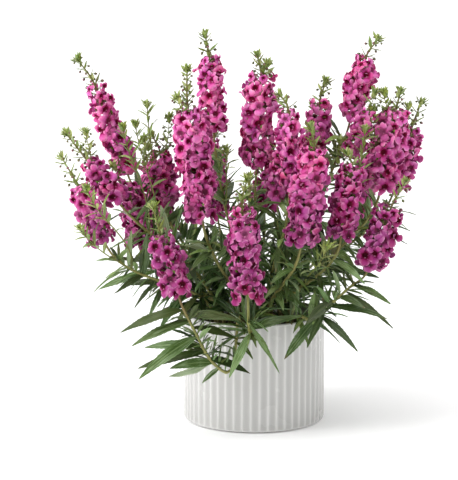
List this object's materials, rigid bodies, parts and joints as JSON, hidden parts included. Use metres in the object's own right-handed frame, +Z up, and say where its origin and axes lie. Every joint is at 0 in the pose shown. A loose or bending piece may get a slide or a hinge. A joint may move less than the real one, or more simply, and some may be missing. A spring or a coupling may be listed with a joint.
{
  "type": "potted angelonia",
  "caption": "Angelonia plant with upright leafy stems that end in spikes of deep pink flowers, growing in a white fluted cylinder pot.",
  "frame": {"origin": "centre of the pot's flat underside, on the surface it stands on", "axes": "+Z up along the pot's axis, -Y towards the side that the picture shows, +X to the picture's right"},
  "size_m": [0.4825, 0.364, 0.52],
  "materials": {
    "glaze": "gloss",
    "soil": "rough",
    "foliage": "satin",
    "petals": "matte"
  },
  "bodies": {
    "root": {"pot": "glaze", "potting_mix": "soil", "stem_01": "foliage", "stem_02": "foliage", "stem_03": "foliage", "stem_04": "foliage", "stem_05": "foliage", "stem_06": "foliage", "stem_07": "foliage", "stem_08": "foliage", "stem_09": "foliage", "stem_10": "foliage", "stem_11": "foliage", "stem_12": "foliage", "stem_13": "foliage", "stem_14": "foliage", "stem_15": "foliage", "stem_16": "foliage", "stem_17": "foliage", "stem_18": "foliage", "stem_19": "foliage", "stem_20": "foliage", "stem_21": "foliage", "stem_22": "foliage", "stem_23": "foliage", "spike_01": "petals", "spike_02": "petals", "spike_03": "petals", "spike_04": "petals", "spike_05": "petals", "spike_06": "petals", "spike_07": "petals", "spike_08": "petals", "spike_09": "petals", "spike_10": "petals", "spike_11": "petals", "spike_12": "petals", "spike_13": "petals", "spike_14": "petals", "spike_15": "petals", "spike_16": "petals", "spike_17": "petals", "spike_18": "petals", "spike_19": "petals", "spike_20": "petals", "spike_21": "petals", "spike_22": "petals", "spike_23": "petals"}
  },
  "joints": []
}
